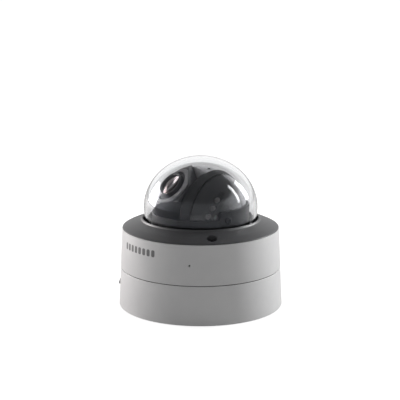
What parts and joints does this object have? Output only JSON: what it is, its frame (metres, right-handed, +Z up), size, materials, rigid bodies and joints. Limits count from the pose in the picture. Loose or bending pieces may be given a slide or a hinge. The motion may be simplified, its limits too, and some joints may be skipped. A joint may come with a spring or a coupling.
{
  "type": "dome cctv camera",
  "caption": "Round vandal-resistant dome security camera with a clear dome over a pan, tilt and rotate eyeball that holds a motorised zoom lens and an infrared lamp strip.",
  "frame": {"origin": "centre of the mounting plate's underside", "axes": "+Z up through the dome, -Y to the front, azimuths turn from -Y towards +X"},
  "size_m": [0.1544, 0.1532, 0.1391],
  "materials": {
    "white_paint": "satin",
    "charcoal_trim": "satin",
    "black_plastic": "matte",
    "grey_plastic": "satin",
    "light_casting": "satin",
    "clear_dome": "gloss",
    "smoked_window": "gloss",
    "steel": "satin",
    "rubber": "matte",
    "circuit_board": "satin",
    "lens_glass": "gloss",
    "lamp": "gloss"
  },
  "bodies": {
    "housing": {"mounting_plate": "steel", "base_housing": "white_paint", "side_screw": "steel", "cable_grommet": "rubber", "cover_gasket": "rubber", "upper_cover": "white_paint", "microphone": "black_plastic", "case_screw_1": "steel", "case_screw_2": "steel", "case_screw_3": "steel", "dome_seal": "rubber", "dome_bubble": "clear_dome", "trim_ring": "charcoal_trim", "ring_screw_1": "steel", "ring_screw_2": "steel", "ring_screw_3": "steel", "chassis_plate": "steel", "chassis_screw_1": "steel", "chassis_screw_2": "steel", "chassis_screw_3": "steel", "main_board": "circuit_board", "board_screw_1": "steel", "board_screw_2": "steel", "board_screw_3": "steel", "network_jack": "steel", "power_terminal": "black_plastic", "heat_spreader": "light_casting", "card_socket": "steel", "memory_card": "black_plastic", "reset_switch": "steel", "pan_retainer": "steel"},
    "button": {"reset_button": "black_plastic"},
    "pan_unit": {"pan_turntable": "light_casting", "liner_collar": "black_plastic", "collar_screw_1": "steel", "collar_screw_2": "steel", "tilt_pivot_1": "steel", "tilt_pivot_2": "steel"},
    "eyeball": {"lens_shroud": "grey_plastic", "lens_bezel": "grey_plastic", "tilt_bracket": "light_casting", "ir_housing": "black_plastic", "ir_window": "smoked_window", "ir_board": "circuit_board", "ir_lamp_1": "lamp", "ir_lamp_2": "lamp", "ir_lamp_3": "lamp"},
    "lens_unit": {"lens_barrel": "black_plastic", "front_glass": "lens_glass", "sensor_board": "circuit_board", "image_sensor": "black_plastic", "zoom_motor": "steel", "focus_motor": "steel"},
    "zoom_group": {"zoom_cell": "black_plastic", "zoom_element": "lens_glass"},
    "focus_group": {"focus_cell": "black_plastic", "focus_element": "lens_glass"},
    "filter_slide": {"ir_cut_filter": "lens_glass"}
  },
  "joints": [
    {"name": "pan", "type": "hinge", "parent": "housing", "child": "pan_unit", "pos_m": [0, 0, 0.0875], "axis": [0, 0, 1], "range_deg": [-177.5, 177.5]},
    {"name": "tilt", "type": "hinge", "parent": "pan_unit", "child": "eyeball", "pos_m": [0, 0, 0.0875], "axis": [0.5299, -0.848, 0], "range_deg": [-47.5, 26]},
    {"name": "lens_turn", "type": "hinge", "parent": "eyeball", "child": "lens_unit", "pos_m": [-0.00238, 0.00382, 0.0875], "axis": [-0.6252, -0.3907, 0.6756], "range_deg": [-177.5, 177.5]},
    {"name": "zoom", "type": "slide", "parent": "lens_unit", "child": "zoom_group", "axis": [-0.6252, -0.3907, 0.6756], "range_m": [-0.008, 0.008]},
    {"name": "focus", "type": "slide", "parent": "lens_unit", "child": "focus_group", "axis": [-0.6252, -0.3907, 0.6756], "range_m": [-0.0035, 0.0035]},
    {"name": "filter_shift", "type": "slide", "parent": "lens_unit", "child": "filter_slide", "axis": [0.5299, -0.848, 0], "range_m": [0, 0.007]},
    {"name": "reset_press", "type": "slide", "parent": "housing", "child": "button", "axis": [0, 0, -1], "range_m": [0, 0.0006], "stiffness_N_per_m": 400}
  ]
}
